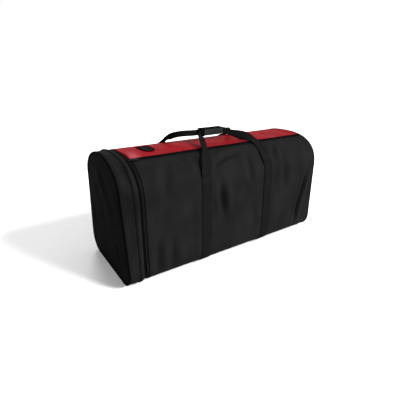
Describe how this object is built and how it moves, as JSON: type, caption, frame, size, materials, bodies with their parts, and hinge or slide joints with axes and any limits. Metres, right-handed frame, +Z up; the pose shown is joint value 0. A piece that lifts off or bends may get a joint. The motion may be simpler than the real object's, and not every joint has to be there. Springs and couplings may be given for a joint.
{
  "type": "hockey equipment bag",
  "caption": "Soft duffel-shaped equipment bag on webbing straps, with a zipped top lid, a zipped pocket at one end and carrying handles that meet in a padded grip.",
  "frame": {"origin": "centre of the footprint, on the floor under the straps", "axes": "+X along the bag's length away from the end pocket, +Y from the front to the back, +Z up"},
  "size_m": [1, 0.431, 0.54],
  "materials": {
    "shell_fabric": "woven, coated, matt",
    "lid_fabric": "woven, coated, slightly glossy",
    "lining": "coated lining",
    "webbing": "ribbed nylon webbing",
    "piping": "folded binding over cord",
    "zip_tape": "knitted tape with a nylon coil",
    "grip_fabric": "padded, woven, with a binding",
    "board": "plain stiff sheet",
    "zip_metal": "black enamel, worn at the edges"
  },
  "bodies": {
    "bag": {"bottom_panel": "shell_fabric", "base_board": "board", "front_panel": "shell_fabric", "back_panel": "shell_fabric", "divider_panel": "lining", "right_end_panel": "shell_fabric", "right_piping": "piping", "left_strap": "webbing", "right_strap": "webbing", "main_zip_tape": "zip_tape", "end_zip_hoop": "zip_tape"},
    "lid": {"top_panel": "lid_fabric", "lid_zip_tape": "zip_tape", "lid_patch": "webbing"},
    "end_cap": {"end_panel": "shell_fabric", "end_gusset": "shell_fabric", "end_piping": "piping", "cap_zip_tape": "zip_tape"},
    "front_handle": {"front_handle": "webbing", "front_grip": "grip_fabric"},
    "back_handle": {"back_handle": "webbing", "back_grip": "grip_fabric"},
    "main_slider": {"main_slider": "zip_metal"},
    "main_puller": {"main_puller": "zip_metal"},
    "end_slider": {"end_slider": "zip_metal"},
    "end_puller": {"end_puller": "zip_metal"}
  },
  "joints": [
    {"name": "lid_fold", "type": "hinge", "parent": "bag", "child": "lid", "pos_m": [0, 0.1087, 0.4753], "axis": [-1, 0, 0], "range_deg": [0, 90]},
    {"name": "front_handle_swing", "type": "hinge", "parent": "bag", "child": "front_handle", "pos_m": [0, -0.2059, 0.3972], "axis": [1, 0, 0], "range_deg": [0, 175]},
    {"name": "back_handle_swing", "type": "hinge", "parent": "bag", "child": "back_handle", "pos_m": [0, 0.2059, 0.3972], "axis": [-1, 0, 0], "range_deg": [0, 175]},
    {"name": "end_cap_fold", "type": "hinge", "parent": "bag", "child": "end_cap", "pos_m": [-0.4945, 0, 0.006], "axis": [0, -1, 0], "range_deg": [0, 90]},
    {"name": "main_zip_slide", "type": "slide", "parent": "bag", "child": "main_slider", "axis": [1, 0, 0], "range_m": [0, 0.86]},
    {"name": "main_puller_flip", "type": "hinge", "parent": "main_slider", "child": "main_puller", "pos_m": [-0.39, -0.1145, 0.4785], "axis": [0, 0.9659, 0.2588], "range_deg": [0, 170]},
    {"name": "end_zip_slide", "type": "slide", "parent": "bag", "child": "end_slider", "axis": [0, 0.007, 1], "range_m": [0, 0.22]},
    {"name": "end_puller_flip", "type": "hinge", "parent": "end_slider", "child": "end_puller", "pos_m": [-0.4233, -0.21423, 0.104], "axis": [-1, 0, 0], "range_deg": [0, 170]}
  ],
  "couplings": [
    {"joint": "front_handle_swing", "follows": "lid_fold", "ratio": 1.9},
    {"joint": "back_handle_swing", "follows": "lid_fold", "ratio": 1.9}
  ]
}
